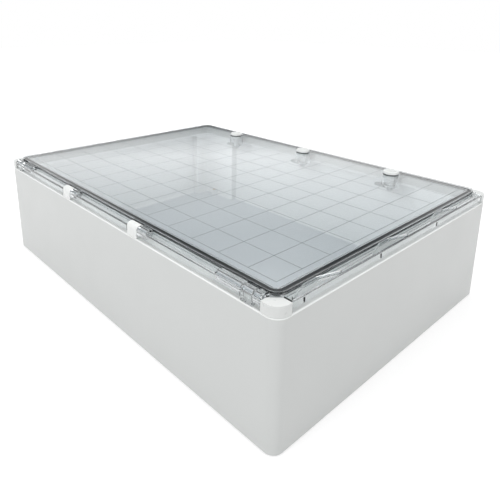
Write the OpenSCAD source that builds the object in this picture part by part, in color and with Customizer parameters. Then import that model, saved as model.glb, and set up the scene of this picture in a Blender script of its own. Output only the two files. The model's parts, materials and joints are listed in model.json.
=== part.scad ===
// Hinged polycarbonate enclosure: an opaque moulded base and a clear lid that
// swings on four hinges along one long side and is held by three quarter-turn
// locks along the other. The origin is the centre of the base's back face,
// +Z points up through the lid, X runs along the hinges, and the hinges are at -Y.

/* [Box] */
// Length of the box outside, along the hinges
box_l = 700; // [600:10:900]
// Width of the box outside, from the hinges to the locks
box_w = 500; // [420:10:700]
// Height of the base from its back to its rim
base_h = 165; // [120:5:260]
// Outer radius of the upright corners at the rim
corner_r = 16; // [12:1:20]
// How much narrower each side is at the back than at the rim
draft = 2.5; // [1:0.5:4]
// Thickness of the floor
floor_t = 5; // [4:0.5:8]
// Least thickness of the side walls
wall_t = 4.5; // [3.5:0.5:6]
// Radius where the walls meet the floor inside
foot_r = 8; // [4:1:12]
// Thickness of the shelf under the lid's edge
shelf_t = 7; // [6:0.5:10]
// Rounding of the rim's outer edge and of the back's edge
edge_r = 1.5; // [0.5:0.5:2]

/* [Wall fields] */
// Length of each thick corner zone along the long sides
corner_zone_x = 113; // [70:1:140]
// Length of each thick corner zone along the short sides
corner_zone_y = 55; // [45:1:90]

/* [Seal] */
// Thickness of the sealing lip that stands on the base
lip_t = 4; // [3:0.5:5]
// Width of the gasket
gasket_w = 6; // [6:0.5:8]
// Thickness of the gasket
gasket_t = 3; // [2:0.5:3.5]
// How far the lid's groove walls reach down past the lip's top
lip_cover = 3; // [2:0.5:4]
// Gap between the lip's top and the gasket at rest
seal_gap = 0.1; // [0.05:0.05:0.3]

/* [Lid] */
// Height of the lid's top face above the rim
lid_rise = 18; // [17:0.5:20]
// Thickness of the raised clear panel
panel_t = 3; // [2.5:0.5:4]
// Distance of the panel's edge from the outside of the box
panel_inset = 13; // [13:0.5:16]
// Corner radius of the raised panel
panel_corner_r = 16; // [14:1:18]
// Height of the panel's top above the ledge round it
ledge_drop = 4; // [3:0.5:5]
// Thickness of the ledge
ledge_t = 2.5; // [2:0.5:3]
// Thickness of the wall between the panel and the ledge
step_t = 2.5; // [2:0.5:3]
// Thickness of the inner wall of the gasket groove
groove_wall_t = 2; // [1.5:0.5:3]
// Thickness of the skirt round the lid
skirt_t = 2.5; // [2:0.5:3]
// How far the skirt's face is set back from the outside of the box
skirt_inset = 0.5; // [0.5:0.1:1]
// Gap between the skirt's lower edge and the rim
skirt_gap = 3; // [2.5:0.5:4]
// Bevel on the outside of the skirt's lower edge
skirt_bevel = 2; // [1.5:0.1:2]

/* [Grid] */
// Distance between the grid lines moulded in the underside of the panel
grid_pitch = 50; // [40:5:80]
// Distance of the grid's frame from the outside of the box
grid_inset = 33; // [32:1:36]
// Width of a grid line
grid_line_w = 1.2; // [0.8:0.1:1.6]
// Depth of a grid line
grid_line_d = 0.4; // [0.2:0.05:0.6]

/* [Wave ribs] */
// Distance from one crest of the rib to the next
wave_pitch = 143; // [110:1:180]
// Length of each stretch that lies along the panel
wave_inner_flat = 20; // [10:1:40]
// Length of each stretch that lies along the skirt
wave_outer_flat = 62; // [30:1:70]
// Thickness of the rib
wave_t = 1.6; // [1.2:0.1:2.4]
// Height of the rib above the ledge
wave_h = 3; // [1:0.5:3.5]
// Distance of the first crest from the middle of the side
wave_start = -187; // [-190:1:-170]
// Width of the drain slots in the skirt
drain_w = 3; // [2:0.5:5]
// Height of the drain slots in the skirt
drain_h = 6; // [4:0.5:7]
// Distance from a crest to the drain slot beside it
drain_offset = -25; // [-30:1:-15]

/* [Hinges] */
// Distance between the two middle hinges
hinge_pitch = 196; // [160:2:260]
// Distance of each end hinge's block from the box's outside, along X
hinge_end_inset = 36; // [36:1:60]
// Outer radius of the hinge blocks on the base
knuckle_r = 6.6; // [6.2:0.1:6.8]
// Length of the two middle hinge blocks
knuckle_l = 23; // [16:1:30]
// Length of the two end hinge blocks
end_knuckle_l = 17; // [12:1:20]
// Outer radius of the eyes moulded on the lid
eye_r = 6; // [5.5:0.1:6.2]
// Length of the middle hinges' eyes
eye_l = 20; // [12:1:30]
// Length of the end hinges' eyes on the side towards the middle
end_eye_l = 40; // [20:1:50]
// Length of the end hinges' eyes on the side towards the corner
tip_eye_l = 8.5; // [7:0.5:9]
// Radius of the hinge pins
pin_r = 2; // [1.5:0.1:2.5]
// Gap along X between a hinge block and the lid
hinge_gap = 1; // [0.8:0.1:1.5]
// Depth of the socket in the shelf that holds a hinge block's foot
foot_socket = 5; // [3:0.5:5]

/* [Corner caps] */
// Length of the corner caps along the hinges
cap_x = 24; // [23:0.5:24.5]
// Length of the corner caps across the hinges
cap_y = 21; // [20:0.5:22]
// Height of the corner caps above the rim
cap_h = 13; // [8:0.5:14]
// Length of the chamfer on a cap's inner corner
cap_chamfer = 12; // [12:0.5:13]
// Gap between a cap and the lid
cap_gap = 1.2; // [1:0.1:2]
// Length of a cap's plug in its screw channel
plug_l = 12; // [8:1:20]

/* [Wall fixing] */
// Distance of the wall-fixing holes from the box's sides
fixing_inset = 11.5; // [11.5:0.5:12.5]
// Radius of the wall-fixing holes
fixing_r = 3.5; // [2.5:0.25:4]
// Radius of the screw channels above those holes
channel_r = 6; // [5.5:0.25:6.5]
// Thickness of the material under the screw heads
fixing_seat = 8; // [6:0.5:12]

/* [Locks] */
// Number of locks along the long side
lock_count = 3; // [3]
// Distance from one lock to the next
lock_pitch = 200; // [150:5:210]
// Distance of the locks from the outside of the box
lock_inset = 40; // [40:1:46]
// Outer radius of the wells moulded under the lid
well_r = 15; // [13.5:0.5:16]
// Thickness of the wells' walls
well_t = 2.5; // [2:0.5:3]
// Radius of the lock screws' heads
head_r = 13.5; // [11:0.5:14]
// Height of the lock screws' heads
head_h = 4.5; // [4:0.5:6]
// Radius of the lock screws' shafts
shaft_r = 6; // [5:0.5:7]
// Radius of the tool recess in a lock screw's head
recess_r = 9.5; // [7:0.5:10.5]
// Depth of the tool recess in a lock screw's head
recess_d = 2.8; // [1.5:0.1:3.2]
// Width of the bar across the tool recess
recess_bar = 4.5; // [3:0.5:6]
// Turn of the bar from the X axis
recess_turn = -45; // [-90:5:90]
// Thickness of the seals under the heads
lock_seal_t = 1; // [0.8:0.1:1.5]
// Reach of the pawls from the locks' centres
pawl_l = 30; // [26:1:33]
// Width of the pawls
pawl_w = 14; // [10:1:18]
// Thickness of the pawls
pawl_t = 3; // [2:0.5:4]
// Width of the square that drives a pawl
drive_w = 7; // [6:0.5:7]
// Width across the flats of the lock nuts
nut_af = 10; // [10:0.5:13]
// Thickness of the lock nuts
nut_t = 4; // [3:0.5:6]

/* [Plate bosses] */
// Distance between the plate bosses along X
boss_pitch_x = 590; // [520:5:600]
// Distance between the plate bosses along Y
boss_pitch_y = 444; // [380:2:444]
// Radius of the plate bosses
boss_r = 7; // [6:0.5:9]
// Height of the plate bosses above the floor
boss_h = 15; // [12:1:30]
// Outer radius of the brass inserts
insert_r = 4; // [3.5:0.25:4.5]
// Thread core radius of the brass inserts
insert_core_r = 2.5; // [2:0.1:2.5]
// Length of the brass inserts
insert_l = 10; // [8:0.5:11]

/* [Fits] */
// Radial clearance of a turning fit
run_fit = 0.08; // [0.04:0.01:0.1]
// Clearance of a piece that is pressed or snapped home
press_fit = 0.03; // [0.01:0.01:0.05]
// Clearance between flat faces that slide on each other
slide_gap = 0.3; // [0.2:0.05:0.5]
// Least clearance between the lid's ledge and the corner caps as the lid swings
swing_gap = 0.1; // [0.1:0.05:0.2]

/* [Hidden] */

$fn = 64;
hull_fn = 64;
past = 1;                                   // how far a cut runs past the face it opens

grey = "#D2D4D3";
pale = "#EEF0EF";
clear = [0.86, 0.92, 0.94, 0.35];
black = "#2E3133";
steel = "#A9ADB0";
brass = "#C9A24B";

half_l = box_l / 2;
half_w = box_w / 2;

// distances inward from the outside of the box
ring_r = panel_inset + panel_corner_r;      // corner radius that the seal rings share
groove_out = panel_inset + step_t;
groove_in = groove_out + gasket_w;
lip_out = groove_out + (gasket_w - lip_t) / 2;
lip_in = lip_out + lip_t;

// heights
lid_top = base_h + lid_rise;
panel_under = lid_top - panel_t;
gasket_under = panel_under - gasket_t;
lip_top = gasket_under - seal_gap;
step_under = lip_top - lip_cover;
groove_wall_under = lip_top - 1;
ledge_top = lid_top - ledge_drop;
ledge_under = ledge_top - ledge_t;
skirt_under = base_h + skirt_gap;
shelf_under = base_h - shelf_t;

// half lengths of the grid's frame
grid_x = half_l - grid_inset;
grid_y = half_w - grid_inset;

// hinge line
flush = 0.1;                                // set-back of the hinge blocks from the outside
hinge_y = -(half_w - knuckle_r - flush);
hinge_z = lid_top - knuckle_r;
notch_depth = 2 * knuckle_r + flush + 0.4;
knuckle_foot_w = knuckle_r * 1.2;

// locks
lock_y = half_w - lock_inset;
well_under = shelf_under;
seal_top = lid_top + lock_seal_t;
head_under = seal_top + press_fit;
head_top = head_under + head_h;
neck_r = shaft_r + 2;
well_floor_t = 3;
pawl_top = well_under - slide_gap;
pawl_under = pawl_top - pawl_t;
stud_r = drive_w / 2 - 0.5;
stud_end = pawl_under - nut_t - 2;

// screw channels and the hollows behind the thick corner zones
channel_x = half_l - fixing_inset;
channel_y = half_w - fixing_inset;
hollow_out = draft + wall_t - 1;
hollow_in = lip_in - wall_t;
hollow_top = shelf_under - wall_t;

// ---------- shared shapes ----------

// rectangle with round corners, centred
module rounded(l, w, r) {
    union() {
        square([l - 2 * r, w], center = true);
        square([l, w - 2 * r], center = true);
        for (sx = [-1, 1], sy = [-1, 1])
            translate([sx * (l / 2 - r), sy * (w / 2 - r)]) circle(r);
    }
}

// outline that lies a distance d inside the box, with the seal's shared corners
module inset_outline(d) {
    rounded(box_l - 2 * d, box_w - 2 * d, ring_r - d);
}

// upright band between two insets
module band(d_out, d_in, z0, z1) {
    translate([0, 0, z0]) linear_extrude(z1 - z0) difference() {
        inset_outline(d_out);
        inset_outline(d_in);
    }
}

// thin slice of the base's outside at one height
module slice(z, inset) {
    translate([0, 0, z]) linear_extrude(0.01)
        rounded(box_l - 2 * inset, box_w - 2 * inset, corner_r - inset, $fn = hull_fn);
}

module at_corners() {
    for (sx = [-1, 1], sy = [-1, 1])
        mirror([sx < 0 ? 1 : 0, 0, 0]) mirror([0, sy < 0 ? 1 : 0, 0]) children();
}

module at_locks() {
    for (i = [0 : lock_count - 1])
        translate([(i - (lock_count - 1) / 2) * lock_pitch, lock_y, 0]) children();
}

// ---------- base ----------

// quarter round at the foot of a wall whose face stands at u, as points
function foot_points(u) = [for (a = [0 : 15 : 90])
    [u - foot_r + foot_r * sin(a), floor_t + foot_r - foot_r * cos(a)]];

// section of a wall field: open towards the middle, leaning with the wall outside
function field_section(half, low_u, high_u) = concat(
    [[half - lip_in - 2 * foot_r, floor_t]],
    foot_points(low_u),
    [[high_u, shelf_under], [half - lip_in - 2 * foot_r, shelf_under]]);

module base_outside() {
    hull() {
        slice(0, draft + edge_r);
        slice(edge_r, draft);
        slice(base_h - edge_r, 0);
        slice(base_h - 0.01, edge_r);
    }
}

// inside of the box between the thick corner zones
module base_inside() {
    hull() {
        for (a = [0 : 15 : 90])
            translate([0, 0, floor_t + foot_r - foot_r * cos(a)]) linear_extrude(0.01)
                inset_outline_hull(lip_in + foot_r - foot_r * sin(a));
        translate([0, 0, base_h + past]) linear_extrude(0.01) inset_outline_hull(lip_in);
    }
}

module inset_outline_hull(d) {
    rounded(box_l - 2 * d, box_w - 2 * d, max(ring_r - d, 1), $fn = hull_fn);
}

// the wall fields: the walls are thinner between the corner zones
module wall_fields() {
    field_x = box_l - 2 * corner_zone_x;
    field_y = box_w - 2 * corner_zone_y;
    for (s = [-1, 1]) {
        mirror([0, s < 0 ? 1 : 0, 0]) translate([-field_x / 2, 0, 0])
            rotate([90, 0, 90]) linear_extrude(field_x)
                polygon(field_section(half_w, half_w - draft - wall_t, half_w - wall_t));
        mirror([s < 0 ? 1 : 0, 0, 0]) translate([0, field_y / 2, 0])
            rotate([90, 0, 0]) linear_extrude(field_y)
                polygon(field_section(half_l, half_l - draft - wall_t, half_l - wall_t));
    }
}

// hollows behind a corner zone, open at the back, so the walls stay even
module corner_hollows() {
    x0 = half_l - corner_zone_x + wall_t;
    x1 = channel_x - channel_r - wall_t;
    y0 = half_w - corner_zone_y + wall_t;
    y1 = channel_y - channel_r - wall_t;
    translate([x0, half_w - hollow_in, -past])
        cube([x1 - x0, hollow_in - hollow_out, hollow_top + past]);
    translate([half_l - hollow_in, y0, -past])
        cube([hollow_in - hollow_out, y1 - y0, hollow_top + past]);
}

module screw_channel() {
    translate([channel_x, channel_y, -past]) cylinder(r = fixing_r, h = fixing_seat + 2 * past);
    translate([channel_x, channel_y, fixing_seat]) cylinder(r = channel_r, h = base_h);
}

// boss for the mounting plate, with a web to the wall beside it
module plate_boss() {
    boss_x = boss_pitch_x / 2;
    boss_y = boss_pitch_y / 2;
    translate([boss_x, boss_y, floor_t - 0.5]) cylinder(r = boss_r, h = boss_h + 0.5);
    translate([boss_x - boss_r / 2, boss_y, floor_t - 0.5])
        cube([boss_r, half_w - lip_in - boss_y + 0.5, boss_h - 2]);
}

module plate_boss_bore() {
    translate([boss_pitch_x / 2, boss_pitch_y / 2, floor_t + boss_h - insert_l - press_fit])
        cylinder(r = insert_r + press_fit, h = boss_h);
}

module base() {
    color(grey) difference() {
        union() {
            difference() {
                base_outside();
                base_inside();
                wall_fields();
            }
            band(lip_out, lip_in, shelf_under, lip_top);
            at_corners() plate_boss();
        }
        at_corners() {
            screw_channel();
            corner_hollows();
            plate_boss_bore();
        }
        for (s = stations()) foot_socket_cut(s);
    }
}

// ---------- hinges ----------

// each station: middle of its block, block length, eye from and to on each side
function mid_station(side) = let (x = side * hinge_pitch / 2 - eye_l / 2)
    [x, knuckle_l, [[x + knuckle_l / 2 + hinge_gap, x + knuckle_l / 2 + hinge_gap + eye_l]]];
function end_station(side) = let (
    x = half_l - hinge_end_inset - end_knuckle_l / 2,
    near = x - end_knuckle_l / 2 - hinge_gap,
    far = x + end_knuckle_l / 2 + hinge_gap)
    [side * x, end_knuckle_l, side > 0
        ? [[near - end_eye_l, near], [far, far + tip_eye_l]]
        : [[-near, -near + end_eye_l], [-far - tip_eye_l, -far]]];
function stations() = [end_station(-1), mid_station(-1), mid_station(1), end_station(1)];

// ends of a station's pin along X
function pin_from(s) = let (e = [for (x = s[2]) x[0]])
    len(e) > 1 ? min(e) + 0.5 : s[0] - s[1] / 2 + 3;
function pin_to(s) = max([for (x = s[2]) x[1]]) - 0.5;

module rod(x0, x1, r) {
    translate([x0, hinge_y, hinge_z]) rotate([0, 90, 0]) cylinder(r = r, h = x1 - x0);
}

module foot_block(s, grow, depth) {
    w = knuckle_foot_w + 2 * grow;
    l = s[1] - 8 + 2 * grow;
    translate([s[0] - l / 2, hinge_y - w / 2, base_h - depth]) cube([l, w, depth + 0.01 * (grow > 0 ? 1 : 0)]);
}

module foot_socket_cut(s) {
    foot_block(s, press_fit, foot_socket);
}

module hinge_knuckle(s, tint) {
    x0 = s[0] - s[1] / 2;
    color(tint) difference() {
        union() {
            rod(x0, x0 + s[1], knuckle_r);
            translate([x0, hinge_y - knuckle_r, base_h]) cube([s[1], 2 * knuckle_r, hinge_z - base_h]);
            foot_block(s, 0, foot_socket - press_fit);
        }
        rod(max(pin_from(s) - press_fit, x0 - past), x0 + s[1] + past, pin_r + press_fit);
    }
}

module hinge_pin(s) {
    color(steel) rod(pin_from(s), pin_to(s), pin_r);
}

// ---------- corner caps ----------

// plan of a cap at the +X +Y corner, grown by g towards the lid
module cap_plan(g) {
    x = half_l - cap_x - g;
    y = half_w - cap_y - g;
    c = cap_chamfer + g * 0.6;
    intersection() {
        rounded(box_l, box_w, corner_r);
        polygon([[x, half_w], [x, y + c], [x + c, y], [half_l, y], [half_l, half_w]]);
    }
}

// room beside a hinge-side cap for the ledge, which swings over the hinge line
module cap_swing_room() {
    reach = norm([half_w + hinge_y, base_h + cap_h - hinge_z]) + swing_gap;
    translate([half_l - cap_x - slide_gap, -half_w])
        square([cap_x + slide_gap, half_w + hinge_y + reach]);
}

module corner_cap(sx, sy) {
    color(pale) mirror([sx < 0 ? 1 : 0, 0, 0]) mirror([0, sy < 0 ? 1 : 0, 0]) {
        translate([0, 0, base_h]) linear_extrude(cap_h) cap_plan(0);
        translate([channel_x, channel_y, base_h - plug_l])
            cylinder(r = channel_r - press_fit, h = plug_l + 1);
    }
}

// ---------- lid ----------

// bar that bevels the lower outer edge of a straight side of the skirt
module bevel_bar(half, l) {
    translate([-l / 2, half - skirt_inset, skirt_under]) rotate([90, 0, 90]) linear_extrude(l)
        polygon([[-skirt_bevel, -past], [past, -past], [past, skirt_bevel],
            [0, skirt_bevel], [-skirt_bevel, 0]]);
}

module skirt_bevels() {
    for (s = [0, 1]) {
        mirror([0, s, 0]) bevel_bar(half_w, box_l);
        mirror([s, 0, 0]) rotate(-90) bevel_bar(half_l, box_w);
    }
}

// V-shaped line along X in the underside of the panel
module grid_line(l) {
    translate([-l / 2, 0, panel_under]) rotate([90, 0, 90]) linear_extrude(l)
        polygon([[-grid_line_w, -grid_line_d], [0, grid_line_d], [grid_line_w, -grid_line_d]]);
}

// places of the grid lines across one direction, and of the frame's two sides
function grid_places(half) = concat([-half, half],
    [for (at = [grid_pitch / 2 : grid_pitch : half - 2 * grid_line_w]) each [-at, at]]);

module grid_lines() {
    for (y = grid_places(grid_y)) translate([0, y, 0]) grid_line(2 * grid_x + grid_line_w);
    for (x = grid_places(grid_x)) translate([x, 0, 0]) rotate(90) grid_line(2 * grid_y + grid_line_w);
}

// panel, step, ledge, skirt and groove wall, stacked in layers that meet face to face
module lid_shell() {
    difference() {
        translate([0, 0, panel_under]) linear_extrude(panel_t) inset_outline(panel_inset);
        grid_lines();
    }
    band(panel_inset, groove_out, ledge_top, panel_under);
    band(skirt_inset, groove_out, ledge_under, ledge_top);
    band(panel_inset, groove_out, step_under, ledge_under);
    band(skirt_inset, skirt_inset + skirt_t, skirt_under, ledge_under);
    band(groove_in, groove_in + groove_wall_t, groove_wall_under, panel_under);
}

// zigzag rib on the ledge of a short side, as an outline
function wave_corners() = [for (k = [0 : floor((box_w - 2 * cap_y) / wave_pitch)])
    let (y = wave_start + k * wave_pitch, a = wave_inner_flat / 2, b = (wave_pitch - wave_outer_flat) / 2)
    each [[y - b, 1], [y - a, 0], [y + a, 0], [y + b, 1]]];

module wave_rib() {
    inner = half_l - panel_inset + 0.6;
    outer = half_l - skirt_inset - skirt_t;
    end = half_w - cap_y - cap_gap - 1;
    line = [for (p = wave_corners()) [inner + p[1] * (outer - inner), p[0]]];
    translate([0, 0, ledge_top]) linear_extrude(wave_h) intersection() {
        polygon(concat(line, [for (i = [len(line) - 1 : -1 : 0]) line[i] + [wave_t, 0]]));
        translate([half_l - panel_inset, -end]) square([panel_inset - skirt_inset, 2 * end]);
    }
}

module drain_slots() {
    for (k = [0 : 2])
        translate([half_l - skirt_t - skirt_inset - past, wave_start + k * wave_pitch + drain_offset,
            ledge_under - drain_h - 0.5])
            cube([skirt_t + skirt_inset + 2 * past, drain_w, drain_h]);
}

// eyes that carry the pins, joined to the step by a web
module hinge_eyes(s) {
    for (e = s[2]) {
        rod(e[0], e[1], eye_r);
        translate([e[0], hinge_y, hinge_z])
            cube([e[1] - e[0], -hinge_y - (half_w - panel_inset) + 0.5, eye_r * 0.8]);
    }
}

module eye_bores(s) {
    for (e = s[2]) rod(e[0] - hinge_gap / 2, e[1] + hinge_gap / 2, pin_r + run_fit);
}

module hinge_notch(s) {
    translate([s[0] - s[1] / 2 - hinge_gap, -half_w - past, base_h])
        cube([s[1] + 2 * hinge_gap, notch_depth + past, lid_rise + past]);
}

module lock_well() {
    translate([0, 0, well_under]) cylinder(r = well_r, h = panel_under - well_under + 0.5);
}

module lock_well_bore() {
    translate([0, 0, well_under + well_floor_t])
        cylinder(r = well_r - well_t, h = panel_under - well_under - well_floor_t);
    translate([0, 0, well_under - past]) cylinder(r = shaft_r + run_fit, h = well_floor_t + 2 * past);
    translate([0, 0, panel_under - past]) cylinder(r = neck_r + slide_gap, h = panel_t + 2 * past);
}

module lid() {
    color(clear) difference() {
        union() {
            lid_shell();
            for (s = [0, 1]) mirror([s, 0, 0]) wave_rib();
            for (s = stations()) hinge_eyes(s);
            at_locks() lock_well();
        }
        translate([0, 0, base_h]) linear_extrude(lid_rise - 0.5) {
            at_corners() cap_plan(cap_gap);
            for (s = [0, 1]) mirror([s, 0]) cap_swing_room();
        }
        for (s = [0, 1]) mirror([s, 0, 0]) drain_slots();
        skirt_bevels();
        for (s = stations()) {
            hinge_notch(s);
            eye_bores(s);
        }
        at_locks() lock_well_bore();
    }
}

module gasket() {
    color(black) band(groove_out, groove_in, gasket_under, panel_under);
}

// ---------- locks ----------

// wedge pocket on one side of the bar in a screw head
module recess_pocket() {
    intersection() {
        circle(recess_r);
        translate([recess_bar / 2, -recess_r]) square([recess_r, 2 * recess_r]);
    }
}

module lock_screw() {
    color(pale) difference() {
        union() {
            rotate_extrude() polygon([[0, head_under], [head_r, head_under], [head_r, head_top - 1.2],
                [head_r - 1.2, head_top], [0, head_top]]);
            translate([0, 0, panel_under]) cylinder(r = neck_r, h = head_under - panel_under + 0.5);
            translate([0, 0, pawl_top]) cylinder(r = shaft_r, h = head_under - pawl_top);
            translate([-drive_w / 2, -drive_w / 2, pawl_under]) cube([drive_w, drive_w, pawl_t + 0.5]);
            translate([0, 0, stud_end]) cylinder(r = stud_r, h = pawl_under - stud_end + 0.5);
        }
        for (a = [0, 180])
            translate([0, 0, head_top - recess_d]) rotate(recess_turn + a)
                linear_extrude(recess_d + past) recess_pocket();
    }
}

// the pawl points along -X when released and turns clockwise under the shelf
module lock_pawl() {
    color(steel) translate([0, 0, pawl_under]) difference() {
        linear_extrude(pawl_t) union() {
            circle(pawl_w / 2 + 2);
            translate([-pawl_l + pawl_w / 2, -pawl_w / 2]) square([pawl_l - pawl_w / 2, pawl_w]);
            translate([-pawl_l + pawl_w / 2, 0]) circle(pawl_w / 2);
        }
        translate([0, 0, pawl_t / 2])
            cube([drive_w + 2 * press_fit, drive_w + 2 * press_fit, pawl_t + 2 * past], center = true);
    }
}

module lock_nut() {
    color(steel) translate([0, 0, pawl_under - nut_t]) difference() {
        cylinder(r = nut_af / sqrt(3), h = nut_t, $fn = 6);
        translate([0, 0, -past]) cylinder(r = stud_r + press_fit, h = nut_t + 2 * past);
    }
}

module at_lock(i) {
    translate([(i - (lock_count - 1) / 2) * lock_pitch, lock_y, 0]) children();
}

module lock_seals() {
    color(black) at_locks() translate([0, 0, lid_top]) difference() {
        cylinder(r = head_r, h = lock_seal_t);
        translate([0, 0, -past]) cylinder(r = neck_r + slide_gap, h = lock_seal_t + 2 * past);
    }
}

module plate_inserts() {
    color(brass) at_corners() translate([boss_pitch_x / 2, boss_pitch_y / 2, floor_t + boss_h - insert_l])
        difference() {
            cylinder(r = insert_r, h = insert_l);
            translate([0, 0, -past]) cylinder(r = insert_core_r, h = insert_l + 2 * past);
        }
}

base();
lid();
gasket();
hinge_knuckle(stations()[0], clear);  // hinge_knuckle_left_end
hinge_knuckle(stations()[1], pale);  // hinge_knuckle_left
hinge_knuckle(stations()[2], pale);  // hinge_knuckle_right
hinge_knuckle(stations()[3], clear);  // hinge_knuckle_right_end
hinge_pin(stations()[0]);  // hinge_pin_left_end
hinge_pin(stations()[1]);  // hinge_pin_left
hinge_pin(stations()[2]);  // hinge_pin_right
hinge_pin(stations()[3]);  // hinge_pin_right_end
corner_cap(-1, -1);  // corner_cap_hinge_left
corner_cap(1, -1);  // corner_cap_hinge_right
corner_cap(-1, 1);  // corner_cap_lock_left
corner_cap(1, 1);  // corner_cap_lock_right
at_lock(0) lock_screw();  // lock_screw_left
at_lock(1) lock_screw();  // lock_screw_middle
at_lock(2) lock_screw();  // lock_screw_right
at_lock(0) lock_pawl();  // lock_pawl_left
at_lock(1) lock_pawl();  // lock_pawl_middle
at_lock(2) lock_pawl();  // lock_pawl_right
at_lock(0) lock_nut();  // lock_nut_left
at_lock(1) lock_nut();  // lock_nut_middle
at_lock(2) lock_nut();  // lock_nut_right
lock_seals();
plate_inserts();
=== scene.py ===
"""Dresses the hinged polycarbonate enclosure: a finish for every node, moulded edges
on the small pieces, the ground grid lines in the clear lid, a plain stage and a camera."""
import json
import math

import bpy
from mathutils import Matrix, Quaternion, Vector

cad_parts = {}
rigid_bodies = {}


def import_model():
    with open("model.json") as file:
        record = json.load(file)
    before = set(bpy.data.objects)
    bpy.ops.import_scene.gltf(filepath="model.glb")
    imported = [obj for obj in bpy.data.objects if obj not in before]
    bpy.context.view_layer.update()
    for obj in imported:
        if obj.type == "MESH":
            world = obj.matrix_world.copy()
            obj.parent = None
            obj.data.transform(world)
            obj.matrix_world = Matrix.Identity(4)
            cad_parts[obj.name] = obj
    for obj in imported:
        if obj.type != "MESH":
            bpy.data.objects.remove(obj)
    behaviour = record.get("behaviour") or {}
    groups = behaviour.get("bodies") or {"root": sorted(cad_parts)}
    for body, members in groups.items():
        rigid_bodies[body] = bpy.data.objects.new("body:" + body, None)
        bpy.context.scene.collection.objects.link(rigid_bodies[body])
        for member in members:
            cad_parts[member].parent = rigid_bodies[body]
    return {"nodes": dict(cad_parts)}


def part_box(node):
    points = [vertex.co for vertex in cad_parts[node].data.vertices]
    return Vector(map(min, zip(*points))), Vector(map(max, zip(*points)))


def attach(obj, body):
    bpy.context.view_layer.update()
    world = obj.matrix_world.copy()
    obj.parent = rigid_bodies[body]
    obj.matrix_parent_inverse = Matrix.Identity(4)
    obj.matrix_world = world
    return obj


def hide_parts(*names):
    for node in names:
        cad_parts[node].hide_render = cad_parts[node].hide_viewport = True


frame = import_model()

bl_info = {
    "name": "Hinged polycarbonate enclosure",
    "version": (1, 0, 0),
    "blender": (4, 5, 0),
    "location": "3D View > Sidebar > Enclosure",
    "description": "Finishes and fine detail of a hinged enclosure with a clear lid",
    "category": "Object",
}

MM = 0.001
HINGES = ("left_end", "left", "right", "right_end")
CORNERS = ("hinge_left", "hinge_right", "lock_left", "lock_right")
LOCKS = ("left", "middle", "right")

# Refractive indices
POLYCARBONATE = 1.58
POLYAMIDE = 1.53
RUBBER = 1.5

# Where the base's finish and its painted light and shade change; a depth is measured inwards from
# its sides, seen from above
CORNER_RADIUS = 16 * MM                 # of the base's upright corners
RIM_HIGHLIGHT_DROP = 1.9 * MM                    # the painted rim highlight starts this far below the rim,
RIM_HIGHLIGHT_BLEND = 0.3 * MM                   # comes in over this height
RIM_HIGHLIGHT_DEPTH = 1 * MM                     # and ends at this depth
CORE_DEPTH = 3.5 * MM                   # the painted lighter inside starts at this depth
CORE_MARGIN = 3 * MM                    # and this far from the rim and from the back
GROUND_TOP = 6.5 * MM                   # the painted darker floor inside lies below this height

# The grid of lines in the underside of the lid's panel
GRID_HEIGHT = 180.22 * MM
GRID_REACH = 0.19 * MM                  # above and below that height
GRID_MARGIN = 25 * MM                   # from the lid's outer edges
GRID_GREY = "#8A9093"

# Cleaning of the CAD meshes and rounding of their edges
DOUBLES_GAP = 0.002 * MM
FLAT_ANGLE = math.radians(0.5)
SMOOTH_ANGLE = math.radians(32)
SHARP_ANGLE = math.radians(50)
EDGE_SEGMENTS = 3

# The floor, and how it fades to white with the distance from the box
FLOOR_SIZE = 14
FLOOR_DROP = 0.4 * MM
FADE_FROM, FADE_TO = 0.5, 2.2
GLOW_FROM, GLOW_TO = 0.54, 0.95

# The square lamps and the point they are turned to
LAMP_TARGET = (0, 0, 0.1)
KEY_PLACE = (-0.3, -3.0, 1.5)
SIDE_PLACE = (3.0, 0.2, 1.3)
BACK_PLACE = (-2.9, 3.5, 2.3)
FRONT_LAMP_SIZE = 1.8
BACK_LAMP_SIZE = 2.6

# Bands of the studio that the lid's face mirrors, by the sine of their height above the horizon
STUDIO_DARK = "#8B8F91"
STUDIO_BANDS = ((0.04, "#FFFFFF"), (0.14, STUDIO_DARK), (0.205, STUDIO_DARK), (0.265, "#FFFFFF"),
                (0.41, STUDIO_DARK), (0.455, STUDIO_DARK), (0.54, "#F2F4F5"))
STUDIO_GAIN = 1.1

# The camera
CAMERA_PLACE = (0.6298, -0.5688, 0.4464)
CAMERA_AZIMUTH = math.radians(47.0)
CAMERA_DROP = math.radians(13.6)        # how far it looks down
CAMERA_ROLL = math.radians(0.47)
CAMERA_SHIFT = (0.03, -0.22)
SENSOR_WIDTH = 36                       # millimetres
CLIP_START = 0.01


def linear(hex_colour):
    """An sRGB hex colour as linear red, green and blue."""
    parts = [int(hex_colour[i:i + 2], 16) / 255 for i in (1, 3, 5)]
    return tuple(p / 12.92 if p <= 0.04045 else ((p + 0.055) / 1.055) ** 2.4 for p in parts)


def colour_setting(name, description, default):
    """A colour for the panel, given in sRGB hex."""
    return bpy.props.FloatVectorProperty(
        name=name, description=description, default=linear(default), subtype="COLOR", size=3,
        min=0, max=1)


def length_setting(name, description, default):
    """A length for the panel, in metres."""
    return bpy.props.FloatProperty(
        name=name, description=description, default=default, min=0, unit="LENGTH", precision=5)


def power_setting(name, description, default):
    """A lamp's power for the panel, in watts."""
    return bpy.props.FloatProperty(
        name=name, description=description, default=default, min=0, unit="POWER")


# ---------- settings ----------

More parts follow.
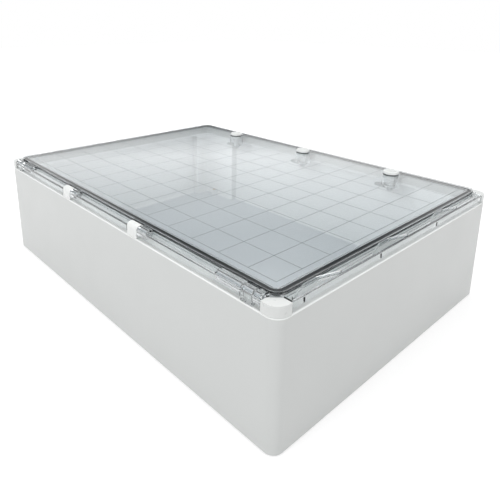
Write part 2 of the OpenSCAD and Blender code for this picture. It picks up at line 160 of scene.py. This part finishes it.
class EnclosureColours(bpy.types.PropertyGroup):
    base: colour_setting("Base", "Light grey of the moulded base", "#CCCECD")
    # Inside: painted light, the base's inner walls drawn far lighter than its outside
    inside: colour_setting("Inside", "Smooth core side of the moulded base", "#F0F2F2")
    # Ground: painted shade, the base's inner floor drawn darker and bluer than its inner walls
    ground: colour_setting("Ground", "Blasted floor of the moulded base, inside", "#DADEE1")
    # Rim: a painted highlight along the top of the base's outside, lighter than the base
    rim_highlight: colour_setting("Rim", "Smooth land along the base's rim", "#E9EBEA")
    clear: colour_setting("Clear lid", "Tint of the clear polycarbonate", "#F8FAFB")
    fittings: colour_setting("Fittings", "Pale grey of the hinge blocks and locks", "#E2E4E3")
    caps: colour_setting("Caps", "Light grey of the corner caps", "#D6D8D7")
    seal: colour_setting("Seals", "Black of the elastomer seals", "#26292B")
    steel: colour_setting("Steel", "Drawn and plated steel", "#B4B8BA")
    brass: colour_setting("Brass", "Turned brass of the inserts", "#C8A55A")
    floor: colour_setting("Floor", "Pale grey of the floor's paint", "#BCBCBC")


class EnclosureSizes(bpy.types.PropertyGroup):
    fitting_edge: length_setting(
        "Fitting edge", "Edge radius of the hinge blocks and caps", 0.9 * MM)
    lock_edge: length_setting("Lock edge", "Edge radius of the lock screws", 0.5 * MM)
    metal_edge: length_setting("Metal edge", "Broken edge of the steel pieces", 0.3 * MM)
    seal_edge: length_setting("Seal edge", "Edge radius of the gasket", 0.8 * MM)
    rim: length_setting("Rim", "Height of the base's rim, below its sealing lip", 165 * MM)
    texture: length_setting(
        "Texture", "Grain of the eroded mould, drawn coarser than the real 0.1 mm", 0.7 * MM)


class EnclosureStage(bpy.types.PropertyGroup):
    ambient: bpy.props.FloatProperty(
        name="Ambient", description="Strength of the soft light near the horizon",
        default=0.08, min=0)
    overhead: bpy.props.FloatProperty(
        name="Overhead", description="Strength of the soft light straight above",
        default=1.28, min=0)
    key: power_setting("Key lamp", "Power of the lamp before the hinge side", 48)
    side: power_setting("Side lamp", "Power of the lamp before the short side", 29)
    back: power_setting("Back lamp", "Power of the lamp behind the far corner", 80)
    focal: bpy.props.FloatProperty(
        name="Lens", description="Focal length of the camera", default=35.94, min=10,
        subtype="DISTANCE_CAMERA")


# ---------- materials ----------

def add(tree, kind, values=None, links=None, **settings):
    """Adds a node with its settings, its input values and its input links."""
    node = tree.nodes.new("ShaderNode" + kind)
    for name, value in settings.items():
        setattr(node, name, value)
    for socket, value in (values or {}).items():
        node.inputs[socket].default_value = value
    for socket, source in (links or {}).items():
        tree.links.new(source, node.inputs[socket])
    return node


def new_material(name):
    """An empty node material and its tree."""
    material = bpy.data.materials.new(name)
    material.use_nodes = True
    material.node_tree.nodes.clear()
    return material, material.node_tree


def rgba(colour, factor=1.0):
    """A colour for a socket, darker or lighter by the factor."""
    return tuple(c * factor for c in colour) + (1.0,)


def mottled(tree, place, colour, size, spread):
    """A colour that drifts by spread over patches of the given size."""
    noise = add(tree, "TexNoise", {"Scale": 1 / size, "Detail": 2.0}, {"Vector": place})
    mixed = add(tree, "Mix", {6: rgba(colour, 1 - spread), 7: rgba(colour, 1 + spread)},
                {0: noise.outputs["Fac"]}, data_type="RGBA")
    return mixed.outputs[2]


def grain(tree, place, size, height, strength):
    """A bump of grains of the given size and height."""
    noise = add(tree, "TexNoise", {"Scale": 1 / size, "Detail": 3.0, "Roughness": 0.6},
                {"Vector": place})
    bump = add(tree, "Bump", {"Strength": strength, "Distance": height},
               {"Height": noise.outputs["Fac"]})
    return bump.outputs["Normal"]


def varied(tree, place, size, low, high):
    """A value that drifts between low and high over patches of the given size."""
    noise = add(tree, "TexNoise", {"Scale": 1 / size, "Detail": 2.0}, {"Vector": place})
    spread = add(tree, "MapRange",
                 {"From Min": 0.3, "From Max": 0.7, "To Min": low, "To Max": high},
                 {"Value": noise.outputs["Fac"]})
    return spread.outputs["Result"]


def object_place(tree):
    """The place on the piece, in its own coordinates."""
    return add(tree, "TexCoord").outputs["Object"]


def finish_tree(tree, shader):
    """Ends the tree with its surface."""
    add(tree, "OutputMaterial", links={"Surface": shader})


def within(tree, value, centre, reach):
    """One where the value lies within reach of the centre, else none."""
    compare = add(tree, "Math", {1: centre, 2: reach}, {0: value}, operation="COMPARE")
    return compare.outputs["Value"]


def box_mask(tree, centre, reach):
    """One inside a box about the centre, else none."""
    place = add(tree, "SeparateXYZ", links={"Vector": object_place(tree)})
    x, y, z = (within(tree, place.outputs[axis], centre[i], reach[i])
               for i, axis in enumerate("XYZ"))
    both = add(tree, "Math", links={0: x, 1: y}, operation="MULTIPLY").outputs["Value"]
    return add(tree, "Math", links={0: both, 1: z}, operation="MULTIPLY").outputs["Value"]


def plan_mask(tree, size, radius, depth):
    """One more than a depth inside a box's upright sides, whose corners are rounded, else none."""
    place = add(tree, "VectorMath", links={0: object_place(tree)}, operation="ABSOLUTE")
    core = (size[0] / 2 - radius, size[1] / 2 - radius, size[2])     # the corners' centres
    past = add(tree, "VectorMath", {1: core}, {0: place.outputs["Vector"]}, operation="SUBTRACT")
    past = add(tree, "VectorMath", {1: (0, 0, 0)}, {0: past.outputs["Vector"]},
               operation="MAXIMUM")
    reach = add(tree, "VectorMath", links={0: past.outputs["Vector"]}, operation="LENGTH")
    return add(tree, "Math", {1: radius - depth}, {0: reach.outputs["Value"]},
               operation="LESS_THAN").outputs["Value"]


def seen_directly(tree, path):
    """One for what the camera sees, also mirrored or through a clear piece, else none."""
    direct = add(tree, "Math", operation="MAXIMUM", links={
        0: path.outputs["Is Camera Ray"], 1: path.outputs["Is Glossy Ray"]})
    seen = add(tree, "Math", operation="MAXIMUM", links={
        0: direct.outputs["Value"], 1: path.outputs["Is Transmission Ray"]})
    return seen.outputs["Value"]


def textured_polycarbonate(colours, texture, size):
    """Polycarbonate moulded against an eroded steel face outside, which leaves a satin skin with a
    very fine grain. The core side inside is smoother. Its walls are painted lighter and its floor
    darker, as painted light and shade, and a painted highlight runs along the rim."""
    material, tree = new_material("textured_grey_polycarbonate")
    place = object_place(tree)
    height = add(tree, "SeparateXYZ", links={"Vector": place}).outputs["Z"]
    # The painted rim highlight: the base's colour drawn lighter along the top edge of its outside
    highlight_from = size[2] - RIM_HIGHLIGHT_DROP
    high = add(tree, "MapRange", {"From Min": highlight_from, "From Max": highlight_from + RIM_HIGHLIGHT_BLEND},
               {"Value": height})
    covered = plan_mask(tree, size, CORNER_RADIUS, RIM_HIGHLIGHT_DEPTH)
    rim_highlight = add(tree, "Math", links={0: high.outputs["Result"], 1: covered}, operation="SUBTRACT")
    rim_highlight.use_clamp = True
    # Painted light and shade inside: the inner walls drawn lighter, the inner floor darker
    walls = within(tree, height, size[2] / 2, size[2] / 2 - CORE_MARGIN)
    deep = plan_mask(tree, size, CORNER_RADIUS, CORE_DEPTH)
    inner = add(tree, "Math", links={0: walls, 1: deep}, operation="MULTIPLY").outputs["Value"]
    skin = mottled(tree, place, colours.base, size=180 * MM, spread=0.015)
    core = add(tree, "Mix", {6: rgba(colours.inside), 7: rgba(colours.ground)},
               {0: within(tree, height, 0.0, GROUND_TOP)}, data_type="RGBA").outputs[2]
    tint = add(tree, "Mix", links={0: inner, 6: skin, 7: core}, data_type="RGBA")
    # Lays the painted rim highlight over the colour
    tint = add(tree, "Mix", {7: rgba(colours.rim_highlight)},
               {0: rim_highlight.outputs["Value"], 6: tint.outputs[2]}, data_type="RGBA")
    satin = varied(tree, place, size=60 * MM, low=0.36, high=0.46)
    sheen = add(tree, "Mix", {3: 0.3}, {0: inner, 2: satin})
    shader = add(tree, "BsdfPrincipled", {"IOR": POLYCARBONATE}, {
        "Base Color": tint.outputs[2],
        "Roughness": sheen.outputs[0],
        "Normal": grain(tree, place, size=texture, height=0.02 * MM, strength=0.35),
    })
    finish_tree(tree, shader.outputs["BSDF"])
    return material


def clear_polycarbonate(name, colour, roughness, grooves=None):
    """Polycarbonate moulded against polished steel, which lets lamps through to what it covers.
    Grooves, given as the centre and reach of the box they lie in, are ground matt and grey."""
    material, tree = new_material(name)
    glass = add(tree, "BsdfPrincipled", {
        "Base Color": rgba(colour), "Roughness": roughness, "IOR": POLYCARBONATE,
        "Transmission Weight": 1.0})
    if grooves:
        ground = add(tree, "BsdfPrincipled", {
            "Base Color": rgba(linear(GRID_GREY)), "Roughness": 0.7, "IOR": POLYCARBONATE})
        glass = add(tree, "MixShader", links={
            0: box_mask(tree, *grooves), 1: glass.outputs["BSDF"], 2: ground.outputs["BSDF"]})
    inside = add(tree, "NewGeometry").outputs["Backfacing"]
    index = add(tree, "Math", {1: 1 / POLYCARBONATE - POLYCARBONATE, 2: POLYCARBONATE},
                {0: inside}, operation="MULTIPLY_ADD")
    facing = add(tree, "Fresnel", links={"IOR": index.outputs["Value"]})
    passed = add(tree, "Mix", {6: rgba(colour), 7: rgba((0, 0, 0))}, {0: facing.outputs["Fac"]},
                 data_type="RGBA")
    through = add(tree, "BsdfTransparent", links={"Color": passed.outputs[2]})
    path = add(tree, "LightPath")
    mixed = add(tree, "MixShader", links={
        0: path.outputs["Is Shadow Ray"], 1: glass.outputs[0], 2: through.outputs["BSDF"]})
    finish_tree(tree, mixed.outputs["Shader"])
    return material


def glossy_polyamide(name, colour):
    """Polyamide moulded smooth: a soft sheen with faint flow marks."""
    material, tree = new_material(name)
    place = object_place(tree)
    shader = add(tree, "BsdfPrincipled", {"IOR": POLYAMIDE}, {
        "Base Color": mottled(tree, place, colour, size=12 * MM, spread=0.02),
        "Roughness": varied(tree, place, size=6 * MM, low=0.26, high=0.38),
        "Normal": grain(tree, place, size=0.5 * MM, height=0.01 * MM, strength=0.25),
    })
    finish_tree(tree, shader.outputs["BSDF"])
    return material


def moulded_elastomer(colour):
    """Soft rubber, moulded or foamed in place: dull, with a fine skin."""
    material, tree = new_material("black_elastomer")
    place = object_place(tree)
    shader = add(tree, "BsdfPrincipled", {"IOR": RUBBER}, {
        "Base Color": mottled(tree, place, colour, size=20 * MM, spread=0.08),
        "Roughness": varied(tree, place, size=8 * MM, low=0.5, high=0.66),
        "Normal": grain(tree, place, size=0.6 * MM, height=0.03 * MM, strength=0.4),
    })
    finish_tree(tree, shader.outputs["BSDF"])
    return material


def worked_metal(name, colour, low, high, stretch):
    """Metal between two roughnesses, with fine marks that the stretch draws out along an axis."""
    material, tree = new_material(name)
    place = object_place(tree)
    along = add(tree, "Mapping", {"Scale": stretch}, {"Vector": place}).outputs["Vector"]
    shader = add(tree, "BsdfPrincipled", {"Metallic": 1.0}, {
        "Base Color": mottled(tree, along, colour, size=4 * MM, spread=0.04),
        "Roughness": varied(tree, along, size=1.5 * MM, low=low, high=high),
        "Normal": grain(tree, along, size=0.4 * MM, height=0.01 * MM, strength=0.3),
    })
    finish_tree(tree, shader.outputs["BSDF"])
    return material


def sweep_paint(colour):
    """Matt floor paint, seen as plain white away from the box and its shadow."""
    material, tree = new_material("matt_white_floor")
    diffuse = add(tree, "BsdfDiffuse", {"Color": rgba(colour)})
    seen = seen_directly(tree, add(tree, "LightPath"))
    away = add(tree, "VectorMath", links={0: object_place(tree)}, operation="LENGTH")
    lift = add(tree, "MapRange", {
        "From Min": FADE_FROM, "From Max": FADE_TO, "To Min": GLOW_FROM, "To Max": GLOW_TO},
        {"Value": away.outputs["Value"]})
    lift = add(tree, "Math", links={0: seen, 1: lift.outputs["Result"]}, operation="MULTIPLY")
    glow = add(tree, "Emission", {"Color": rgba((1, 1, 1))}, {"Strength": lift.outputs["Value"]})
    both = add(tree, "AddShader", links={0: diffuse.outputs["BSDF"], 1: glow.outputs["Emission"]})
    finish_tree(tree, both.outputs["Shader"])
    return material


# ---------- modelling ----------

def deselect_all():
    """Leaves edit mode and clears the selection."""
    if bpy.context.mode != "OBJECT":
        bpy.ops.object.mode_set(mode="OBJECT")
    bpy.ops.object.select_all(action="DESELECT")


def make_active(piece):
    """Selects one piece alone."""
    deselect_all()
    piece.select_set(True)
    bpy.context.view_layer.objects.active = piece


def dress(piece, material):
    """Gives a mesh its only material."""
    piece.data.materials.clear()
    piece.data.materials.append(material)


def finish_node(node, material):
    """Gives a CAD node its finish."""
    dress(frame["nodes"][node], material)


def merged_copy(node, name):
    """A copy of a CAD node with its doubles merged and its flat faces whole."""
    make_active(frame["nodes"][node])
    bpy.ops.object.duplicate()
    piece = bpy.context.active_object
    piece.name = piece.data.name = name
    bpy.ops.object.parent_clear(type="CLEAR_KEEP_TRANSFORM")
    for key in list(piece.keys()):
        del piece[key]
    bpy.ops.mesh.customdata_custom_splitnormals_clear()
    bpy.ops.object.mode_set(mode="EDIT")
    bpy.ops.mesh.select_all(action="SELECT")
    bpy.ops.mesh.remove_doubles(threshold=DOUBLES_GAP)
    bpy.ops.mesh.dissolve_limited(angle_limit=FLAT_ANGLE)
    bpy.ops.object.mode_set(mode="OBJECT")
    return piece


def soften_edges(piece, width):
    """Rounds every sharp edge."""
    make_active(piece)
    bpy.ops.object.shade_smooth_by_angle(angle=SMOOTH_ANGLE)
    bevel = piece.modifiers.new("moulded edge", "BEVEL")
    bevel.harden_normals = True
    bevel.width = width
    bevel.segments = EDGE_SEGMENTS
    bevel.limit_method = "ANGLE"
    bevel.angle_limit = SHARP_ANGLE
    bevel.miter_outer = "MITER_ARC"
    bpy.ops.object.modifier_apply(modifier=bevel.name)


def softened(node, name, body, material, width):
    """A copy of a CAD node with moulded edges, which stands for it."""
    piece = merged_copy(node, name)
    soften_edges(piece, width)
    dress(piece, material)
    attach(piece, body)
    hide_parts(node)


# ---------- operators ----------

class DressBase(bpy.types.Operator):
    """Finish the grey base and its brass inserts"""
    bl_idname = "enclosure.base"
    bl_label = "Base"

    def execute(self, context):
        colours = context.scene.enclosure_colours
        sizes = context.scene.enclosure_sizes
        low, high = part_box("base")
        walls = (high[0] - low[0], high[1] - low[1], sizes.rim)
        finish_node("base", textured_polycarbonate(colours, sizes.texture, walls))
        brass = worked_metal("turned_brass", colours.brass, low=0.22, high=0.34, stretch=(1, 1, 6))
        finish_node("plate_inserts", brass)
        return {"FINISHED"}


class DressLid(bpy.types.Operator):
    """Finish the clear lid, with its grid lines ground matt"""
    bl_idname = "enclosure.lid"
    bl_label = "Clear lid"

    def execute(self, context):
        colours = context.scene.enclosure_colours
        low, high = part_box("lid")
        reach = (high[0] - GRID_MARGIN, min(high[1], -low[1]) - GRID_MARGIN, GRID_REACH)
        clear = clear_polycarbonate("clear_polycarbonate", colours.clear, roughness=0.02,
                                    grooves=((0, 0, GRID_HEIGHT), reach))
        finish_node("lid", clear)
        return {"FINISHED"}


class DressGasket(bpy.types.Operator):
    """Round the gasket's edges and finish it in black elastomer"""
    bl_idname = "enclosure.gasket"
    bl_label = "Gasket"

    def execute(self, context):
        rubber = moulded_elastomer(context.scene.enclosure_colours.seal)
        softened("gasket", "seal_ring", "lid", rubber,
                 context.scene.enclosure_sizes.seal_edge)
        finish_node("lock_seals", rubber)
        return {"FINISHED"}


class DressHinges(bpy.types.Operator):
    """Round the hinge blocks and finish them and their pins"""
    bl_idname = "enclosure.hinges"
    bl_label = "Hinges"

    def execute(self, context):
        colours = context.scene.enclosure_colours
        block = glossy_polyamide("pale_polyamide", colours.fittings)
        clear = clear_polycarbonate("clear_polycarbonate_blocks", colours.clear, roughness=0.03)
        wire = worked_metal("drawn_stainless_wire", colours.steel, low=0.2, high=0.3,
                            stretch=(0.05, 1, 1))
        for side in HINGES:
            slot, finish = ("clear_lid", clear) if "end" in side else ("hinge_blocks", block)
            softened("hinge_knuckle_" + side, "hinge_block_" + side, "base", finish,
                     context.scene.enclosure_sizes.fitting_edge)
            finish_node("hinge_pin_" + side, wire)
        return {"FINISHED"}


class DressCaps(bpy.types.Operator):
    """Round the corner caps and finish them"""
    bl_idname = "enclosure.caps"
    bl_label = "Corner caps"

    def execute(self, context):
        cap = glossy_polyamide("cap_polyamide", context.scene.enclosure_colours.caps)
        for corner in CORNERS:
            softened("corner_cap_" + corner, "cap_" + corner, "base", cap,
                     context.scene.enclosure_sizes.fitting_edge)
        return {"FINISHED"}


class DressLocks(bpy.types.Operator):
    """Round and finish the lock screws, their pawls and nuts"""
    bl_idname = "enclosure.locks"
    bl_label = "Locks"

    def execute(self, context):
        colours = context.scene.enclosure_colours
        sizes = context.scene.enclosure_sizes
        plastic = glossy_polyamide("lock_polyamide", colours.fittings)
        plated = worked_metal("zinc_plated_steel", colours.steel, low=0.28, high=0.42,
                              stretch=(1, 1, 1))
        for side in LOCKS:
            body = "lock_" + side
            softened("lock_screw_" + side, "lock_head_" + side, body, plastic,
                     sizes.lock_edge)
            softened("lock_pawl_" + side, "pawl_" + side, body, plated,
                     sizes.metal_edge)
            softened("lock_nut_" + side, "nut_" + side, body, plated,
                     sizes.metal_edge)
        return {"FINISHED"}


def soft_lamp(name, place, size, power):
    """A square soft lamp turned to the box."""
    bpy.ops.object.light_add(type="AREA", location=place)
    lamp = bpy.context.active_object
    lamp.name = name
    lamp.data.size = size
    lamp.data.energy = power
    lamp.rotation_mode = "QUATERNION"
    lamp.rotation_quaternion = (Vector(LAMP_TARGET) - lamp.location).to_track_quat("-Z", "Y")
    return lamp


def white_surroundings(scene, ambient, overhead):
    """Plain light from all round, stronger from above. It is seen as a white backdrop, and
    mirrored as a studio in bands."""
    world = bpy.data.worlds.new("white_surroundings")
    world.use_nodes = True
    tree = world.node_tree
    tree.nodes.clear()
    path = add(tree, "LightPath")
    undiffused = add(tree, "Math", {1: 0.5}, {0: path.outputs["Diffuse Depth"]},
                     operation="LESS_THAN")
    shown = add(tree, "Math", operation="MULTIPLY", links={
        0: seen_directly(tree, path), 1: undiffused.outputs["Value"]})
    way = add(tree, "SeparateXYZ", links={"Vector": add(tree, "TexCoord").outputs["Generated"]})
    studio = add(tree, "ValToRGB", links={"Fac": way.outputs["Z"]})
    stops = studio.color_ramp.elements
    for stop, (height, tint) in zip(stops, STUDIO_BANDS[:2]):      # a new ramp has two stops
        stop.position, stop.color = height, rgba(linear(tint))
    for height, tint in STUDIO_BANDS[2:]:
        stops.new(height).color = rgba(linear(tint))
    lit = add(tree, "VectorMath", {"Scale": STUDIO_GAIN}, {0: studio.outputs["Color"]},
              operation="SCALE")
    mirrored = add(tree, "Mix", {6: rgba((1, 1, 1))}, {
        0: path.outputs["Glossy Depth"], 7: lit.outputs["Vector"]}, data_type="RGBA")
    level = add(tree, "MapRange", {"To Min": ambient, "To Max": overhead},
                {"Value": way.outputs["Z"]})
    light = add(tree, "Background", {"Color": rgba((1, 1, 1))},
                {"Strength": level.outputs["Result"]})
    backdrop = add(tree, "Background", {"Strength": 1.0}, {"Color": mirrored.outputs[2]})
    both = add(tree, "MixShader", links={
        0: shown.outputs["Value"], 1: light.outputs["Background"],
        2: backdrop.outputs["Background"]})
    add(tree, "OutputWorld", links={"Surface": both.outputs["Shader"]})
    scene.world = world


def stage_camera(scene, focal):
    """A camera before the near corner, above the lid, with its picture shifted down."""
    bpy.ops.object.camera_add(location=CAMERA_PLACE)
    camera = bpy.context.active_object
    camera.name = "camera"
    level = math.cos(CAMERA_DROP)
    ahead = Vector((-math.sin(CAMERA_AZIMUTH) * level, math.cos(CAMERA_AZIMUTH) * level,
                    -math.sin(CAMERA_DROP)))
    camera.rotation_mode = "QUATERNION"
    camera.rotation_quaternion = (ahead.to_track_quat("-Z", "Y")
                                  @ Quaternion((0, 0, 1), CAMERA_ROLL))
    camera.data.lens = focal
    camera.data.sensor_width = SENSOR_WIDTH
    camera.data.shift_x, camera.data.shift_y = CAMERA_SHIFT
    camera.data.clip_start = CLIP_START
    scene.camera = camera


class SetStage(bpy.types.Operator):
    """Set the white floor, the soft lamps, the surroundings and the camera"""
    bl_idname = "enclosure.stage"
    bl_label = "Stage"

    def execute(self, context):
        scene = context.scene
        stage = scene.enclosure_stage
        deselect_all()
        bpy.ops.mesh.primitive_plane_add(size=FLOOR_SIZE, location=(0, 0, -FLOOR_DROP))
        floor = context.active_object
        floor.name = "floor"
        dress(floor, sweep_paint(scene.enclosure_colours.floor))
        soft_lamp("key_lamp", KEY_PLACE, FRONT_LAMP_SIZE, stage.key)
        soft_lamp("side_lamp", SIDE_PLACE, FRONT_LAMP_SIZE, stage.side)
        back = soft_lamp("back_lamp", BACK_PLACE, BACK_LAMP_SIZE, stage.back)
        back.visible_glossy = back.visible_transmission = False
        white_surroundings(scene, stage.ambient, stage.overhead)
        stage_camera(scene, stage.focal)
        scene.view_settings.view_transform = "Standard"
        return {"FINISHED"}


OPERATORS = (DressBase, DressLid, DressGasket, DressHinges, DressCaps, DressLocks, SetStage)


class EnclosurePanel(bpy.types.Panel):
    """Lists the enclosure's sizes, colours and pieces"""
    bl_idname = "VIEW3D_PT_enclosure"
    bl_label = "Enclosure"
    bl_space_type = "VIEW_3D"
    bl_region_type = "UI"
    bl_category = "Enclosure"

    def draw(self, context):
        for group in (context.scene.enclosure_colours, context.scene.enclosure_sizes,
                      context.scene.enclosure_stage):
            for name in group.bl_rna.properties.keys():
                if name not in ("rna_type", "name"):
                    self.layout.prop(group, name)
        for operator in OPERATORS:
            self.layout.operator(operator.bl_idname)


GROUPS = (EnclosureColours, EnclosureSizes, EnclosureStage)


def register():
    for cls in GROUPS + OPERATORS + (EnclosurePanel,):
        bpy.utils.register_class(cls)
    bpy.types.Scene.enclosure_colours = bpy.props.PointerProperty(type=EnclosureColours)
    bpy.types.Scene.enclosure_sizes = bpy.props.PointerProperty(type=EnclosureSizes)
    bpy.types.Scene.enclosure_stage = bpy.props.PointerProperty(type=EnclosureStage)


def unregister():
    del bpy.types.Scene.enclosure_stage
    del bpy.types.Scene.enclosure_sizes
    del bpy.types.Scene.enclosure_colours
    for cls in reversed(GROUPS + OPERATORS + (EnclosurePanel,)):
        bpy.utils.unregister_class(cls)


def main():
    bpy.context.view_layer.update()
    register()
    bpy.ops.enclosure.stage()
    bpy.ops.enclosure.base()
    bpy.ops.enclosure.lid()
    bpy.ops.enclosure.gasket()
    bpy.ops.enclosure.hinges()
    bpy.ops.enclosure.caps()
    bpy.ops.enclosure.locks()


if __name__ == "__main__":
    main()
